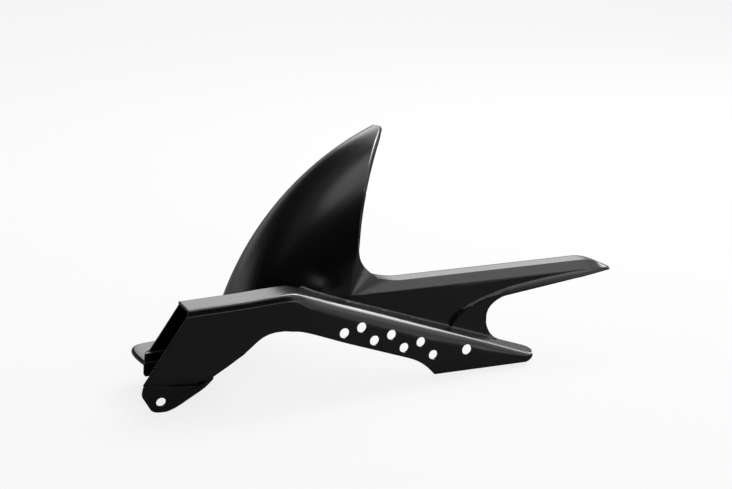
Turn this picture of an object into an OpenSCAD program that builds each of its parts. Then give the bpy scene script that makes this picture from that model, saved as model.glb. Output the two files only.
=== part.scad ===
// Rear hugger mudguard: tyre cover, swingarm wing and chain guard moulded as one shell.
// X runs to the rear of the bike, Y to its right and Z up. The origin is the centre of
// the front bolt hole, on the outer face of its tab.

/* [Shell] */
// Thickness of the moulded walls
wall = 3; // [2.5:0.1:4]

/* [Tyre cover] */
// Distance of the wheel axle behind the front bolt hole
axle_back = 441; // [400:1:480]
// Depth of the wheel axle below the front bolt hole
axle_drop = 78; // [65:1:90]
// Distance of the wheel's middle plane from the front bolt hole
wheel_side = 132; // [120:1:145]
// Radius from the axle to the outside of the crown
crown_r = 348; // [325:1:370]
// Half of the cover's width, outside
cover_half = 100; // [90:1:110]
// Depth of the flanks below the crown
flank_depth = 97; // [85:1:110]
// Squareness of the section: 2 is an ellipse, more is boxier
squareness = 2.6; // [2.2:0.1:3.5]
// Angle of the tip above the level through the axle
tip_angle = 67.5; // [64:0.5:70]
// Angle over which the cover narrows to its tip
taper_angle = 34.5; // [32:0.5:37]
// How far the near edge runs past the crown at the tip, part of the half width
tip_past = 0.17; // [0.1:0.01:0.3]
// Width of the blunt tip, part of the half width
tip_blunt = 0.33; // [0.2:0.01:0.5]
// Height of the cover's lower front edge above the front bolt hole
apron_z = 26; // [22:0.5:30]
// Width of the rim turned in along the rear edge
rim_w = 5; // [4:0.5:8]
// Height over which the flank's root flares out to the guard
root_h = 24; // [15:1:32]

/* [Wing over the swingarm] */
// Height of the wing's top flange above the front bolt hole
wing_z = 91; // [88:1:96]
// Distance of the wing's pointed end behind the front bolt hole
wing_end = 550; // [520:1:590]
// Height of the bevel between the side and the top flange
bevel_h = 10; // [7:0.5:12]
// Depth of that bevel, inwards
bevel_in = 7; // [4:0.5:9]
// Width of the top flange
flange_w = 21; // [14:1:28]
// Height of the raised lip along the lower edge
lip_h = 8; // [5:0.5:10]
// How far the lip stands out
lip_out = 3; // [1.5:0.5:4]
// Height of the joggle between the lip and the side
joggle_h = 3; // [2:0.5:4]
// Rise of the lower edge for each millimetre to the rear
lip_rise = 0.12; // [0.11:0.005:0.13]

/* [Chain guard] */
// Width over the guard, from its outer side to its inner edge
guard_w = 38; // [34:1:44]
// How far the outer side stands out from the bolt hole's tab
guard_out = 4; // [3:0.5:6]
// Height of the chute's top above the front bolt hole
chute_z = 97; // [92:1:102]
// Rise of the chute's top for each millimetre to the rear
chute_rise = 0.033; // [0:0.005:0.05]
// Distance of the bend behind the front bolt hole
bend_x = 151; // [140:1:160]
// Slope of the guard behind the bend
guard_slope = 19.65; // [17:0.05:22]
// Depth of the sloping outer side
guard_depth = 41; // [37:1:46]
// Height of the tail's lower edge, measured from the front bolt hole
tail_z = -8.5; // [-12:0.5:-4]
// Start of the deeper tail behind the front bolt hole
tail_x = 310; // [302:1:318]
// End of the guard's outer side
guard_end = 431; // [420:1:450]
// Extra length of the guard's inner edge
tail_skew = 15; // [0:1:20]
// Width of the rounding between the outer side and the top
round_w = 10; // [7:0.5:12]
// Height of that rounding
round_h = 24; // [14:1:28]

/* [Chute mouth] */
// Top of the chute's slanted front edge, behind the front bolt hole
mouth_top_x = 31; // [20:1:40]
// Foot of that edge
mouth_foot_x = -19.5; // [-22:0.5:-17]
// Length of the inner wall at the foot of the chute
inner_back = 165; // [150:1:175]
// Height of the inner wall's lower edge
inner_z = 20; // [16:1:24]
// Width of each of the two steps in the inner wall
step_w = 3; // [2:0.5:4]

/* [Front bridge] */
// Reach of the front bridge across the swingarm
bridge_w = 80; // [60:1:90]
// Height of the bridge's top face
bridge_z = 28.5; // [25:0.5:31]
// Depth of the rim turned down along its front
bridge_rim = 4; // [4:0.5:8]

/* [Fastening] */
// Hole in the front tab, for a bolt with a rubber grommet
tab_hole_d = 10.5; // [8:0.5:12]
// Tilt of the tab, its lower edge leaning in
tab_tilt = 10; // [9:0.5:12]
// Height of the outer side's lower edge over the front of the tab
tab_top = 21.5; // [20:0.5:22]
// Hole in the guard's tail, for a bolt with a rubber grommet
tail_hole_d = 12; // [8:0.5:13]
// Distance of that hole behind the front bolt hole
tail_hole_x = 349; // [340:1:356]
// Depth of that hole below the guard's top, square to the slope
tail_hole_down = 14; // [12:0.5:17]

/* [Vent holes] */
// Number of holes in the lower row
vent_count = 4; // [3:1:5]
// Diameter of the front hole
vent_d = 11.5; // [10:0.5:15]
// How much each following hole of a row is smaller
vent_less = 0.2; // [0:0.1:0.8]
// Spacing along a row
vent_pitch = 37; // [34:0.5:40]
// Front hole's distance behind the bend, along the slope
vent_start = 66; // [60:0.5:72]
// Depth of the lower row below the guard's top
vent_low = 28.5; // [26:0.1:30]
// Depth of the upper row below the guard's top
vent_high = 18; // [16:0.1:19]

/* [Hidden] */
plastic = "#1c1d1f";

axle = [axle_back, -axle_drop];
outer_y = -guard_out;
inner_y = guard_w - guard_out;
flank_y = wheel_side - cover_half;
flank_r = crown_r - flank_depth;
slope = tan(guard_slope);
// Height of the sloping top line where it crosses the bend
bend_z = chute_z + chute_rise * (bend_x - mouth_top_x);
// Distance of the sloping top line from the axle
line_r = (bend_z - axle[1]) * cos(guard_slope) - (axle[0] - bend_x) * sin(guard_slope);
sink = wall / 2;

function clamp(v) = max(0, min(1, v));
function smooth(v) = let(c = clamp(v)) c * c * (3 - 2 * c);
function mix(a, b, f) = a + (b - a) * f;
function unit(v) = v / norm(v);

// Height of the guard's top line: the level chute rounds over into the slope
function top_z(x) = let(
        over = x - bend_x,
        up = chute_z + chute_rise * (x - mouth_top_x),
        down = bend_z - slope * over,
        gap = up - down,
        k = 3)
    (up + down - sqrt(gap * gap + k * k)) / 2 + (abs(over) < 60 ? 1.5 * (1 - abs(over) / 60) : 0);

/* Thick sheets: an outer grid, an inner grid and one strip of faces round their edge */
function shell_faces(quads, loop, n) = concat(
    [for (q = quads) [q[3], q[2], q[1], q[0]]],
    [for (q = quads) [for (v = q) v + n]],
    [for (k = [0 : len(loop) - 1]) let(a = loop[k], b = loop[(k + 1) % len(loop)]) [b, a, a + n, b + n]]);

/* Tyre cover in polar form about the axle */
// Lateral place of the near edge and of the far edge at an angle, 1 at the near flank
function taper(a) = clamp(1 - (tip_angle - a) / taper_angle);
function kept(a) = 1 - (1 + tip_past) * pow(taper(a), 3.3);
function far_kept(a) = (1 - tip_past - tip_blunt) * pow(taper(a), 6) - 1;
function bow(u) = sign(u) * asin(pow(clamp(abs(u)), squareness / 2));
function cover_y(b) = wheel_side - cover_half * sign(b) * pow(abs(sin(b)), 2 / squareness);
function cover_r(b) = crown_r - flank_depth * (1 - pow(cos(b), 2 / squareness));
function line_angle(r, up) = guard_slope + asin((line_r + up) / r);
function apron_angle(r) = asin((apron_z - axle[1]) / r);
// Lower boundary: level apron at the crown and far side, guard's top line at the near flank
root_r = crown_r - 28;
function low_angle(b) = let(r = cover_r(b))
    b <= 0 ? apron_angle(r)
           : r > root_r ? mix(apron_angle(r), line_angle(root_r, -sink), pow((crown_r - r) / 28, 1.3))
                        : line_angle(r, -sink);

bevel_angle = asin((wing_z - bevel_h - axle[1]) / flank_r);
fillet_angle = bevel_angle + 4.7;
rear_angle = fillet_angle + 1.7;
rear_bow = bow(kept(rear_angle));
fillet_n = 4;
rear_n = 11;
cover_rows = 5 + fillet_n + rear_n;
cover_cols = 20;

// Angle and bow of the near boundary, row by row: seam with the wing, fillet, rear edge
function edge_angle(i) =
    i == 0 ? line_angle(flank_r, -sink) : i == 1 ? line_angle(flank_r, -sink + 0.5)
    : i == 2 ? line_angle(flank_r, -sink + 1)
    : i == 3 ? (line_angle(flank_r, 0) + bevel_angle) / 2
    : i == 4 ? bevel_angle
    : i <= 5 + fillet_n ? let(q = (i - 5) / fillet_n) fillet_angle + 3.4 * q * q - 1.7 * q
    : let(q = (i - 5 - fillet_n) / rear_n) mix(rear_angle, tip_angle, q);
function edge_bow(i) =
    i <= 5 ? 90 : i <= 5 + fillet_n ? mix(90, rear_bow, (i - 5) / fillet_n) : bow(kept(edge_angle(i)));
// Away from that boundary the rows spread evenly past the fillet
function row_angle(i) = i <= 4 || i >= 5 + fillet_n ? edge_angle(i)
    : mix(edge_angle(4), edge_angle(5 + fillet_n), (i - 4) / (fillet_n + 1));
function row_free(i) = smooth((row_angle(i) - edge_angle(0)) / 16);

// The near flank flares out to the guard's inner edge just above it
function flared(y, r, a, b) = let(
        up = r * sin(a - guard_slope) - line_r,
        on = b > 0 ? clamp((root_r + 6 - r) / 6) : 0,
        f = mix(1, smooth(up / root_h), on))
    mix(min(y, inner_y - sink / 2), y, f);

function cover_point(i, j) = let(
        b0 = edge_bow(i),
        b1 = max(bow(far_kept(row_angle(i))), -82),
        b = mix(b0, b1, j / cover_cols),
        r = cover_r(b),
        base = mix(edge_angle(i), row_angle(i), clamp(j / 3)),
        a = base + (1 - row_free(i)) * (low_angle(b) - low_angle(b0)),
        y = flared(cover_y(b), r, a, b),
        edge = (j == 0 && i >= 5) ? max(y, flank_y + bevel_in) : y)
    [axle[0] - r * cos(a), edge, axle[1] + r * sin(a)];

cover = [for (i = [0 : cover_rows]) [for (j = [0 : cover_cols]) cover_point(i, j)]];

function cover_normal(i, j) = let(
        i0 = max(0, i - 1), i1 = min(cover_rows, i + 1),
        j0 = max(0, j - 1), j1 = min(cover_cols, j + 1))
    unit(cross(cover[i1][j] - cover[i0][j], cover[i][j1] - cover[i][j0]));

// In-surface direction away from the cover, square to its rear edge
function edge_out(i) = let(
        before = i == 5 ? wing_outer(1)[5] : cover[i - 1][0],
        along = cover[min(cover_rows, i + 1)][0] - before,
        n = cover_normal(i, 1))
    unit(cross(along, n));
function rim_reach(i) = mix(flange_w, rim_w, smooth((i - 5) / (fillet_n + 1)));

/* Wing in upright stations: lower edge, lip, joggle, side, bevel, crease, flange end */
// Lower edge and joggle line round the notch between wing and guard
notch = [
    [[355, 0], [352, 47], 356], [[368, 0], [360, 53], 364], [[380, 0], [368, 57], 372],
    [[388, 0], [376, 60], 381], [[389.5, 30], [384, 62.5], 389], [[389.5, 40], [391, 65], 397],
    [[391.5, 48], [398, 67], 405], [[396.5, 55], [405, 69], 413], [[405, 60], [414, 70.5], 421]];
notch_end = [416, 62];
function lip_z(x) = notch_end[1] + lip_rise * (x - notch_end[0]);
function nose(x) = clamp((x - wing_end + 38) / 38);
function crease_z(x, start) = wing_z + 5 * pow(1 - clamp((x - start) / 30), 2) - 12 * pow(nose(x), 2);

seam_top_x = axle[0] - flank_r * cos(fillet_angle);
seam_low_x = axle[0] - flank_r * cos(edge_angle(0));
front_n = 7;
rear_stations = 9;
wing_n = front_n + len(notch) + rear_stations;

// Bottom edge, joggle line and crease of station s, as [x, z] pairs and an x
function station(s) =
    s <= front_n ? let(
            q = s / front_n, xb = mix(seam_low_x, 345, q), xt = mix(seam_top_x, 347, q),
            lift = s == front_n ? 4 : 0)
        [[xb, top_z(xb) - sink], [xb, top_z(xb) - sink + 1 + lift], xt]
    : s <= front_n + len(notch) ? let(p = notch[s - front_n - 1])
        [[p[0][0], p[0][1] == 0 ? top_z(p[0][0]) - sink : p[0][1]], p[1], p[2]]
    : let(
            q = (s - front_n - len(notch)) / rear_stations,
            xb = mix(notch_end[0], wing_end - 1, q),
            xt = mix(428, wing_end, q),
            rise = mix(lip_h, 0.5, smooth((q - 0.5) / 0.5)))
        [[xb, lip_z(xb)], [xb + 4 * (1 - q), lip_z(xb) + rise], xt];

function wing_outer(s) = let(
        p = station(s), low = p[0], jog = p[1], x = p[2],
        cz = crease_z(x, seam_top_x),
        bz = min(wing_z - bevel_h, mix(jog[1], cz, mix(1, 0.6, clamp((x - 440) / 60)))),
        out = lip_out * smooth((low[0] - 345) / 20),
        lz = mix(low[1], jog[1], max(0.3, 1 - joggle_h / max(0.1, jog[1] - low[1]))),
        half = [(jog[0] + x) / 2, (jog[1] + bz) / 2])
    [[low[0], flank_y - out, low[1]],
     [mix(low[0], jog[0], 0.7), flank_y - out, lz],
     [jog[0], flank_y, jog[1]],
     [half[0], flank_y, half[1]],
     [x, flank_y, bz],
     [x, flank_y + bevel_in, cz],
     [x - 2 * nose(x), flank_y + bevel_in + flange_w * (1 - 0.75 * pow(nose(x), 2)), cz]];
function wing_inner(s) = let(o = wing_outer(s), thin = min(wall, 0.8 * (o[5][2] - o[4][2]) + 1))
    [o[0] + [0, wall, 0], o[1] + [0, wall, 0], o[2] + [0, wall, 0], o[3] + [0, wall, 0],
     o[4] + [0, wall, 0], o[5] + [0, wall * 0.75, -thin], o[6] + [0, 0, -thin]];

/* Cover, rim and wing share their edge points, so they are one closed body */
function cov(i, j) = i * (cover_cols + 1) + j;
rim_first = (cover_rows + 1) * (cover_cols + 1);
function rim_at(i) = rim_first + i - 5;
wing_first = rim_first + cover_rows - 4;
function wing_at(s, p) = s > 0 ? wing_first + (s - 1) * 7 + p : p < 6 ? cov(p, 0) : rim_at(5);
body_n = wing_first + wing_n * 7;

rim_outer = [for (i = [5 : cover_rows]) cover[i][0] - cover_normal(i, 1) * rim_reach(i)];
body_outer = concat(
    [for (row = cover) each row], rim_outer,
    [for (s = [1 : wing_n]) each wing_outer(s)]);
body_inner = concat(
    [for (i = [0 : cover_rows]) for (j = [0 : cover_cols])
        cover[i][j] - cover_normal(i, max(j, i >= 5 ? 1 : 0)) * wall
            - (j == 0 && i >= 5 ? edge_out(i) * wall : [0, 0, 0])],
    [for (i = [5 : cover_rows]) rim_outer[i - 5] - edge_out(i) * wall],
    [for (s = [1 : wing_n]) each wing_inner(s)]);
body_quads = concat(
    [for (i = [0 : cover_rows - 1]) for (j = [0 : cover_cols - 1])
        [cov(i, j), cov(i + 1, j), cov(i + 1, j + 1), cov(i, j + 1)]],
    [for (i = [5 : cover_rows - 1]) [rim_at(i), rim_at(i + 1), cov(i + 1, 0), cov(i, 0)]],
    [for (s = [0 : wing_n - 1]) for (p = [0 : 5])
        [wing_at(s + 1, p), wing_at(s + 1, p + 1), wing_at(s, p + 1), wing_at(s, p)]]);
body_loop = concat(
    [for (j = [0 : cover_cols]) cov(0, j)],
    [for (i = [1 : cover_rows]) cov(i, cover_cols)],
    [for (j = [cover_cols - 1 : -1 : 0]) cov(cover_rows, j)],
    [for (i = [cover_rows : -1 : 5]) rim_at(i)],
    [for (s = [1 : wing_n]) wing_at(s, 6)],
    [for (p = [5 : -1 : 0]) wing_at(wing_n, p)],
    [for (s = [wing_n - 1 : -1 : 1]) wing_at(s, 0)]);

module cover_and_wing() {
    polyhedron(points = concat(body_outer, body_inner), faces = shell_faces(body_quads, body_loop, body_n));
}

/* Guard in slanted stations: foot of the outer side, rounding, top, inner edge */
// Lower edge of the outer side from the tab to the arch over the swingarm
mouth_foot = [
    [mouth_foot_x, tab_top], [8, tab_top - 0.7], [36, tab_top - 2], [50, 18], [57, 22.5], [72, 31],
    [90, 42], [105, 54], [118, 60.5], [132, 62], [146, 60.5]];
mouth_n = len(mouth_foot) - 1;
slope_n = 13;
tail_n = 8;
guard_n = mouth_n + slope_n + tail_n;
function foot_z(x) = let(base = top_z(x) - guard_depth, f = smooth((x - tail_x + 15) / 15))
    mix(base, min(base, tail_z), f);
function guard_station(s) =
    s <= mouth_n ? [mouth_foot[s], mix(mouth_top_x, 146, s / mouth_n)]
    : s <= mouth_n + slope_n ? let(x = mix(146, tail_x, (s - mouth_n) / slope_n)) [[x, foot_z(x)], x]
    : let(q = (s - mouth_n - slope_n) / tail_n, x = mix(tail_x, guard_end, 1 - pow(1 - q, 1.5)))
        [[x, tail_z + 9 * pow(clamp((x - guard_end + 14) / 14), 3)], x];
guard_arc = [for (k = [0 : 5]) 90 * k / 5];
function guard_outer(s) = let(
        p = guard_station(s), foot = p[0], x = p[1], z = top_z(x),
        skew = tail_skew * smooth((x - tail_x) / (guard_end - tail_x)),
        rh = min(round_h, (z - foot[1]) * 0.6), rise = z - rh - foot[1],
        steep = s <= mouth_n ? mix(1.075, 1, s / mouth_n) / (z - foot[1]) : 1 / (z - foot[1]))
    concat(
        [for (f = [0, 0.5]) [mix(foot[0], x, f * rise * steep), outer_y, foot[1] + rise * f]],
        [for (a = guard_arc) let(h = z - rh * (1 - sin(a)))
            [mix(foot[0], x, clamp((h - foot[1]) * steep)), outer_y + round_w * (1 - cos(a)), h]],
        [for (f = [0.5, 1]) [x + skew * f, mix(outer_y + round_w, inner_y, f), top_z(x + skew * f)]]);
function guard_inner(s) = let(o = guard_outer(s))
    concat(
        [for (k = [0, 1]) o[k] + [0, wall, 0]],
        [for (k = [0 : 5]) o[k + 2] + [0, wall * cos(guard_arc[k]), -wall * sin(guard_arc[k])]],
        [for (k = [8, 9]) o[k] - [0, 0, wall]]);
guard_cols = 9;
function gd(s, c) = s * (guard_cols + 1) + c;
module guard_skin() {
    points = concat(
        [for (s = [0 : guard_n]) each guard_outer(s)],
        [for (s = [0 : guard_n]) each guard_inner(s)]);
    quads = [for (s = [0 : guard_n - 1]) for (c = [0 : guard_cols - 1])
        [gd(s, c), gd(s + 1, c), gd(s + 1, c + 1), gd(s, c + 1)]];
    loop = concat(
        [for (c = [0 : guard_cols]) gd(0, c)], [for (s = [1 : guard_n]) gd(s, guard_cols)],
        [for (c = [guard_cols - 1 : -1 : 0]) gd(guard_n, c)], [for (s = [guard_n - 1 : -1 : 1]) gd(s, 0)]);
    polyhedron(points = points, faces = shell_faces(quads, loop, (guard_n + 1) * (guard_cols + 1)));
}

// A drawing in side view, given thickness from y1 to y2
module side(y1, y2) {
    translate([0, y2, 0]) rotate([90, 0, 0]) linear_extrude(y2 - y1) children();
}

module front_tab() {
    rotate([tab_tilt, 0, 0]) side(0, wall)
        polygon([[mouth_foot_x + 1.5, 22.3], [-20.3, 13], [-20.5, 10], [-19.5, 7], [-11.5, -7], [-8.6, -10],
            [-5, -11.7], [5.5, -12.3], [9.5, -11.2], [15.5, -9], [23, -4.7], [41.7, 7], [51, 14.3],
            [55.5, 18.6], [57.5, 22.3], [48, 22.3]]);
}

module inner_wall() {
    y = inner_y - 0.5;
    intersection() {
        translate([-30, 0, 0]) rotate([90, 0, 90]) linear_extrude(inner_back + 30)
            polygon([[y, 120], [y - wall, 120], [y - wall, 46], [y - wall - step_w, 46],
                [y - wall - step_w, 36], [y - wall - 2 * step_w, 36],
                [y - wall - 2 * step_w, inner_z - 5], [y - 2 * step_w, inner_z - 5],
                [y - 2 * step_w, 33], [y - step_w, 33], [y - step_w, 43], [y, 43]]);
        side(0, inner_y + 10)
            polygon(concat(
                [[mouth_top_x + 1, chute_z - sink], [-2.5, 47.5], [-6.5, 46], [-8.5, 43.5], [-9, 37.5],
                 [-10.5, 36], [-11.2, inner_z + 4], [-9, inner_z + 2], [60, inner_z + 4],
                 [90, 34], [120, 52], [inner_back - 15, 66], [inner_back, 80]],
                [for (x = [inner_back : -9 : mouth_top_x + 10]) [x, top_z(x) - sink]]));
    }
}

// Space kept free for the tyre, to the middle of the cover's wall
module tyre_space() {
    translate([axle[0], 0, axle[1]]) rotate([90, 0, 0]) translate([0, 0, -wheel_side])
        rotate_extrude($fn = 96)
            polygon(concat([[0, -cover_half + sink]],
                [for (b = [-90 : 9 : 90]) [cover_r(b) - sink, (cover_half - sink) * sign(b)
                    * pow(abs(sin(b)), 2 / squareness)]],
                [[0, cover_half - sink]]));
}

module front_bridge() {
    y0 = inner_y - 2 * step_w - 2;
    y1 = inner_y + bridge_w;
    difference() {
        union() {
            translate([0, 0, bridge_z - wall]) linear_extrude(wall)
                polygon([[0, y0], [-4.5, 54], [-6.5, y1 - 32], [-5.5, y1 - 15], [-2.5, y1 - 6], [2, y1],
                    [8, y1 + 3], [26, y1 + 6], [70, y1 + 34], [100, y1 + 84], [128, y1 + 100],
                    [150, y1 + 90], [150, 90], [118, 78], [103, 50], [84, y0]]);
            translate([0, 0, bridge_z - bridge_rim]) linear_extrude(bridge_rim)
                polygon([[0, y0], [-4.5, 54], [-6.5, y1 - 32], [-5.5, y1 - 15], [-2.5, y1 - 6], [2, y1],
                    [8, y1 + 3], [26, y1 + 6], [26, y1 + 3], [9, y1], [4, y1 - 2.5], [0.5, y1 - 7],
                    [-2.5, y1 - 16], [-3.5, y1 - 32], [-1.5, 54], [3, y0]]);
        }
        tyre_space();
    }
}

// Along the sloping top line: distance behind the bend and depth below the line
function on_slope(along, down) = [
    bend_x + along * cos(guard_slope) - down * sin(guard_slope),
    bend_z - along * sin(guard_slope) - down * cos(guard_slope)];
module bore(d, at) {
    translate([at[0], outer_y - 5, at[1]]) rotate([-90, 0, 0]) cylinder(d = d, h = wall + 12, $fn = 48);
}
module vent_row(count, along, down, d) {
    for (k = [0 : count - 1]) bore(d - vent_less * k, on_slope(along + vent_pitch * k, down));
}
tail_hole_along = (tail_hole_x - bend_x + tail_hole_down * sin(guard_slope)) / cos(guard_slope);
tail_hole = on_slope(tail_hole_along, tail_hole_down);
// Flat seat behind the curved skin, round the tail's hole
module tail_seat() {
    translate([tail_hole[0], outer_y + 1, tail_hole[1]]) rotate([-90, 0, 0])
        cylinder(d = tail_hole_d + 9, h = wall + 1.5, $fn = 48);
}

module mudguard_shell() {
    color(plastic) difference() {
        union() {
            cover_and_wing();
            guard_skin();
            front_tab();
            inner_wall();
            front_bridge();
            tail_seat();
        }
        rotate([tab_tilt, 0, 0]) translate([0, -5, 0]) rotate([-90, 0, 0])
            cylinder(d = tab_hole_d, h = wall + 10, $fn = 48);
        bore(tail_hole_d, tail_hole);
        vent_row(vent_count, vent_start, vent_low, vent_d);
        vent_row(vent_count - 1, vent_start + vent_pitch / 2 - 1, vent_high, vent_d);
    }
}

mudguard_shell();
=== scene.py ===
# Rear hugger mudguard: the moulded shell with its fine form, its plastic, the studio and the camera.
# Lengths are in millimetres and angles in degrees, until a mesh is made in metres.
import math

import bpy
import numpy as np
from mathutils import Matrix, Vector


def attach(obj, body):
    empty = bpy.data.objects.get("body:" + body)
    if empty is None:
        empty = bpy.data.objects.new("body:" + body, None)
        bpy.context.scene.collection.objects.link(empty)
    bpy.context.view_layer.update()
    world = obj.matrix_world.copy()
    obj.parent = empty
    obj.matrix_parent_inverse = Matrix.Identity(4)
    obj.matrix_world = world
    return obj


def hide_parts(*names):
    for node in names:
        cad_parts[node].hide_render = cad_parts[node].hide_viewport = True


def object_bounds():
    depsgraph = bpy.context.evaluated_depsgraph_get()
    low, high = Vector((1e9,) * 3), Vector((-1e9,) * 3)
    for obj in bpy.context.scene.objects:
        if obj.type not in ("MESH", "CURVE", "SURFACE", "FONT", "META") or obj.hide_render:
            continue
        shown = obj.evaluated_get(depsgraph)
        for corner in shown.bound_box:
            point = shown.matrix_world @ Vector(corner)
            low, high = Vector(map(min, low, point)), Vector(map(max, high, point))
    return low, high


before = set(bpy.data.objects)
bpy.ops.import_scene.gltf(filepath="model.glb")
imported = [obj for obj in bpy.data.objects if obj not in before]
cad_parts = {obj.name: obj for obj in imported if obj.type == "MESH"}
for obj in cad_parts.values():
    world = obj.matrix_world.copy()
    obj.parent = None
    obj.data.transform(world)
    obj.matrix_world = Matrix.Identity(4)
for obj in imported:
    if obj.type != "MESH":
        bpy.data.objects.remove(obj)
cad_box = [list(corner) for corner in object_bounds()]

MM = 0.001
WALL = 3.0
# Rounded rims: radius, the largest share of the wall it takes, and its middle point's inset
EDGE_R = 0.7
FINE_EDGE_R = 0.5
EDGE_SHARE = 0.4
EDGE_MID = 0.29
SHARP_ANGLE = 42.0

# Tyre cover
AXLE_X, AXLE_Z = 441.0, -78.0
WHEEL_Y = 132.0
CROWN_R = 348.0
COVER_HALF = 100.0
FLANK_DEPTH = 97.0
SQUARENESS = 2.6
TIP_ANGLE = 67.48
TAPER_ANGLE = 34.5
NEAR_POWER, FAR_POWER = 3.3, 6
TIP_PAST = 0.17
TIP_BLUNT = 0.33
FAR_BOW, FAR_SOFT = -82.0, 30.0
APRON_Z = 26.0
RIM_W = 5.0
ROOT_H = 24.0
ROOT_DROP = 28.0
BEAD_W = 3.2
BEAD_H = 0.9

# Wing over the swingarm
WING_Z = 91.0
WING_END = 549.97
BEVEL_H = 10.4
BEVEL_IN = 7.0
BEVEL_SOFT, BEVEL_SINK = 0.3, 0.27
FLANGE_W = 21.0
NOSE_L = 38.0
NOSE_DROP = 12.0
NOSE_WALL = 0.38
CREASE_LIFT, CREASE_RUN = 5.0, 30.0
LIP_OUT = 3.0
LIP_START = 340.0

# Chain guard
GUARD_W = 38.0
GUARD_COLS = 12
GUARD_STATIONS = 84
MOUTH_STATIONS = 66
TAIL_STATIONS = 52
GUARD_OUT = 4.0
CHUTE_Z = 97.0
CHUTE_RISE = 0.033
BEND_X = 151.0
BEND_SOFT = 9.0
CREST_H, CREST_REACH = 1.5, 60.0
GUARD_SLOPE = 19.65
GUARD_DEPTH = 41.0
TAIL_Z = -8.5
TAIL_X = 310.0
GUARD_END = 431.0
TAIL_SKEW = 15.0
ROUND_W = 13.0
ROUND_H = 19.0
TAIL_ROUND_W = 9.0
TAIL_ROUND_H = 14.0
TAIL_BULGE = 3.3
TAIL_CORNER = 8.0
TAIL_END_R = 11.0
TAIL_END_RISE = 9.0
MOUTH_TOP_X = 31.0
MOUTH_END_X = 146.0
ROOT_FILLET = 2.6

# Inner wall and front bridge
INNER_BACK = 165.0
INNER_Z = 20.0
STEP_W = 3.0
BRIDGE_Z = 28.5
BRIDGE_RIM = 4.0
BRIDGE_ROLL = 3.2
BRIDGE_WALL = 2.6
BRIDGE_RIM_WALL = 2.2

# Tab and holes
TAB_TILT = 10.0
TAB_EDGE_R = 0.6
TAB_BACK = 2.4
TAB_BACK_WALL = 2.2
TAB_HOLE_D = 10.5
TAIL_HOLE_D = 12.0
TAIL_HOLE_X = 349.0
TAIL_HOLE_DOWN = 14.0
VENT_COUNT = 4
VENT_D = 11.5
VENT_LESS = 0.2
VENT_PITCH = 37.0
VENT_START = 66.0
VENT_LOW = 28.5
VENT_HIGH = 18.0
PLUG_SIDES = 72
PLUG_REACH = (-8.0, 12.0)

# Studio, in metres. Lamps: azimuth, elevation and distance from the part's middle, width, height, glow
MIDDLE = (0.26, 0.1, 0.1)
LAMPS = {"key": (141, 52, 2.1, 1.1, 1.0, 9.0),
         "side": (113, 42, 2.4, 1.6, 0.9, 10.0),
         "low": (57, 1, 2.2, 1.9, 0.36, 3.0),
         "back": (157, 17, 3.7, 2.0, 1.1, 2.1),
         "fill": (38, 26, 2.2, 0.9, 2.0, 1.0)}
# The room in reflections: glow of each light, and where its edge begins and ends on its axis
TOP_GLOW, TOP_AXIS, TOP_EDGE = 1.5, (0.2837, 0.1593, 0.9455), (0.56, 0.62)
TOP_HIGH, TOP_RIGHT = (0.6, 0.8), (-0.05, 0.1)
HALO_GLOW, HALO_EDGE = 0.14, (0.38, 0.58)
LEFT_DIM, LEFT_AXIS, LEFT_EDGE = 0.15, (1.2, 1.0, 0.0), (-0.75, -0.4)
HORIZON_GLOW, HORIZON_TOP, HORIZON_BEHIND = 0.45, (0.07, 0.2), (0.1, 0.7)
FRONT_GLOW = 0.02
PALE_WORLD, PALE_FLOOR = 0.938, 0.83
FLOOR_GLOW, FLOOR_TONE = 0.078, 0.07
FLOOR_SIZE, FLOOR_GAP = 12.0, 0.0005

SINK = WALL / 2
OUTER_Y = -GUARD_OUT
INNER_Y = GUARD_W - GUARD_OUT
FLANK_Y = WHEEL_Y - COVER_HALF
FLANK_R = CROWN_R - FLANK_DEPTH
SLOPE = math.tan(math.radians(GUARD_SLOPE))
BEND_Z = CHUTE_Z + CHUTE_RISE * (BEND_X - MOUTH_TOP_X)
LINE_R = ((BEND_Z - AXLE_Z) * math.cos(math.radians(GUARD_SLOPE))
          - (AXLE_X - BEND_X) * math.sin(math.radians(GUARD_SLOPE)))


def sind(a):
    return np.sin(np.radians(a))


def cosd(a):
    return np.cos(np.radians(a))


def smooth(v):
    """0 up to 0 and 1 from 1 on, with a soft rise between."""
    c = np.clip(v, 0.0, 1.0)
    return c * c * (3 - 2 * c)


def mix(a, b, f):
    return a + (b - a) * f


def soft_max(a, b, soft):
    """The larger of two values, rounded over where they meet."""
    return (a + b + np.sqrt((a - b) ** 2 + soft)) / 2


def spread(many):
    """Even fractions after 0, up to 1."""
    return np.arange(1, many + 1) / many


def line_lengths(line):
    """How far along a line each of its points is."""
    return np.concatenate([[0], np.cumsum(np.linalg.norm(np.diff(line, axis=0), axis=1))])


def at_lengths(line, length, t):
    """Points of a line at places along it."""
    return np.stack([np.interp(t, length, c) for c in line.T], axis=-1)


def top_z(x):
    """Height of the guard's top line: the level chute rounds over into the slope."""
    over = np.asarray(x, float) - BEND_X
    up = CHUTE_Z + CHUTE_RISE * (over + BEND_X - MOUTH_TOP_X)
    down = BEND_Z - SLOPE * over
    crest = CREST_H * np.clip(1 - (over / CREST_REACH) ** 2, 0, 1) ** 2
    return up + down - soft_max(up, down, BEND_SOFT) + crest


# Meshes

def grid_quads(index):
    """Quads of a grid of vertex numbers, in the order that faces rows x columns."""
    a, b = index[:-1, :-1], index[1:, :-1]
    c, d = index[1:, 1:], index[:-1, 1:]
    return np.stack([a, b, c, d], axis=-1).reshape(-1, 4)


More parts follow.
